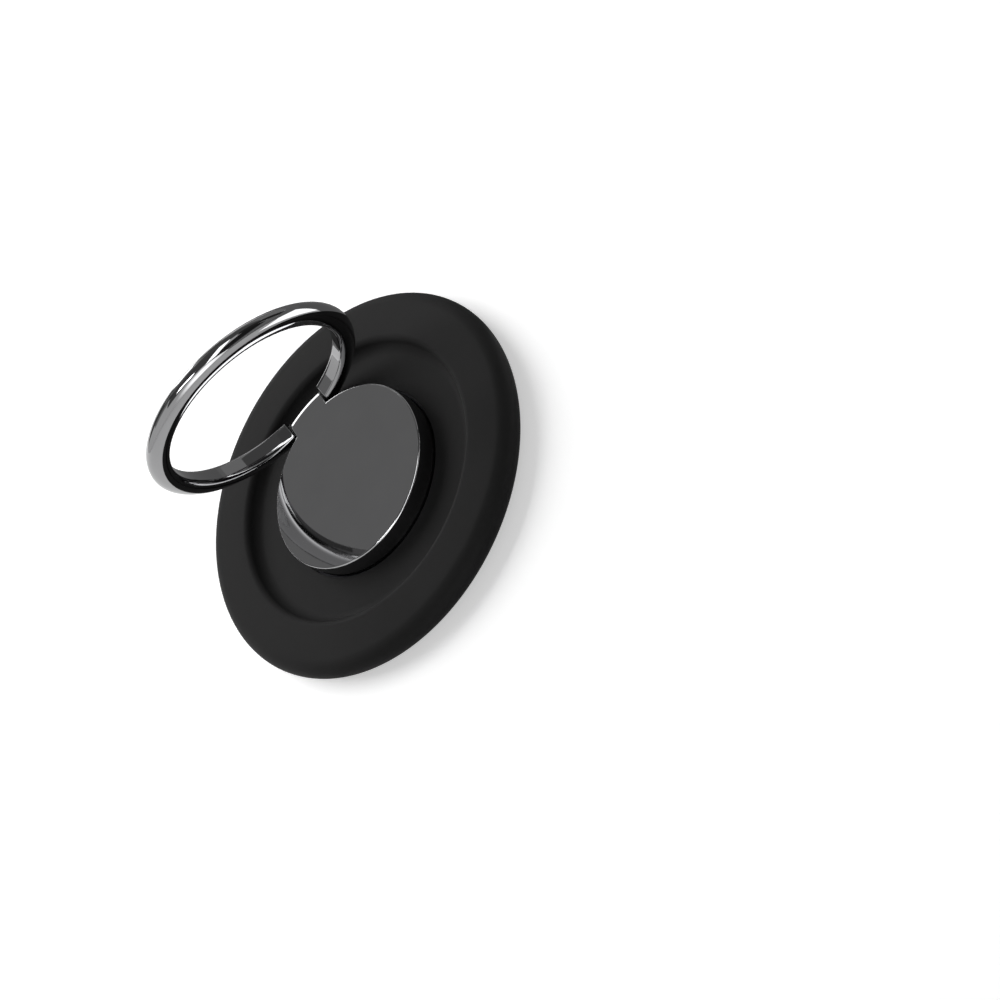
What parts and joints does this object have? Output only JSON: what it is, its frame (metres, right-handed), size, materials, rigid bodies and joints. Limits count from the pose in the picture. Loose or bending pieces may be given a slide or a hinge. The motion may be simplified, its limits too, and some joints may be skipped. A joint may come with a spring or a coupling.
{
  "type": "magnetic phone ring holder",
  "caption": "Soft black magnetic disc with a mirror-faced swivel hub and a polished finger ring that folds up from the hub on a hinge pin, for gripping or standing a phone.",
  "frame": {"origin": "Centre of the flat back face, on the hub's swivel axis.", "axes": "+Z out of the back face towards the hub, +X along the ring's hinge pin, +Y from the centre towards the hinge."},
  "size_m": [0.064, 0.064, 0.0405],
  "materials": {
    "silicone": "matte silicone",
    "back_pad": "soft satin pad",
    "carrier_plastic": "moulded",
    "steel": "plain steel",
    "nylon": "moulded nylon",
    "hub_metal": "mirror gunmetal",
    "ring_metal": "polished gunmetal",
    "magnet_nickel": "nickel plate"
  },
  "bodies": {
    "base": {"silicone_cover": "silicone", "back_pad": "back_pad", "back_plate": "carrier_plastic", "carrier": "carrier_plastic", "yoke_ring": "steel", "swivel_bush": "nylon", "spring_washer": "steel", "magnet_01": "magnet_nickel", "magnet_02": "magnet_nickel", "magnet_03": "magnet_nickel", "magnet_04": "magnet_nickel", "magnet_05": "magnet_nickel", "magnet_06": "magnet_nickel", "magnet_07": "magnet_nickel", "magnet_08": "magnet_nickel", "magnet_09": "magnet_nickel", "magnet_10": "magnet_nickel", "magnet_11": "magnet_nickel", "magnet_12": "magnet_nickel", "magnet_13": "magnet_nickel", "magnet_14": "magnet_nickel", "magnet_15": "magnet_nickel", "magnet_16": "magnet_nickel"},
    "hub": {"hub": "hub_metal", "retaining_clip": "steel", "hinge_pin": "steel", "hinge_washer_left": "nylon", "hinge_washer_right": "nylon"},
    "ring": {"finger_ring": "ring_metal"}
  },
  "joints": [
    {"name": "hub_swivel", "type": "hinge", "parent": "base", "child": "hub", "pos_m": [0, 0, 0.005], "axis": [0, 0, 1], "continuous": true},
    {"name": "ring_fold", "type": "hinge", "parent": "hub", "child": "ring", "pos_m": [0, 0.01765, 0.0051], "axis": [-1, 0, 0], "range_deg": [-70.6, 79]}
  ]
}
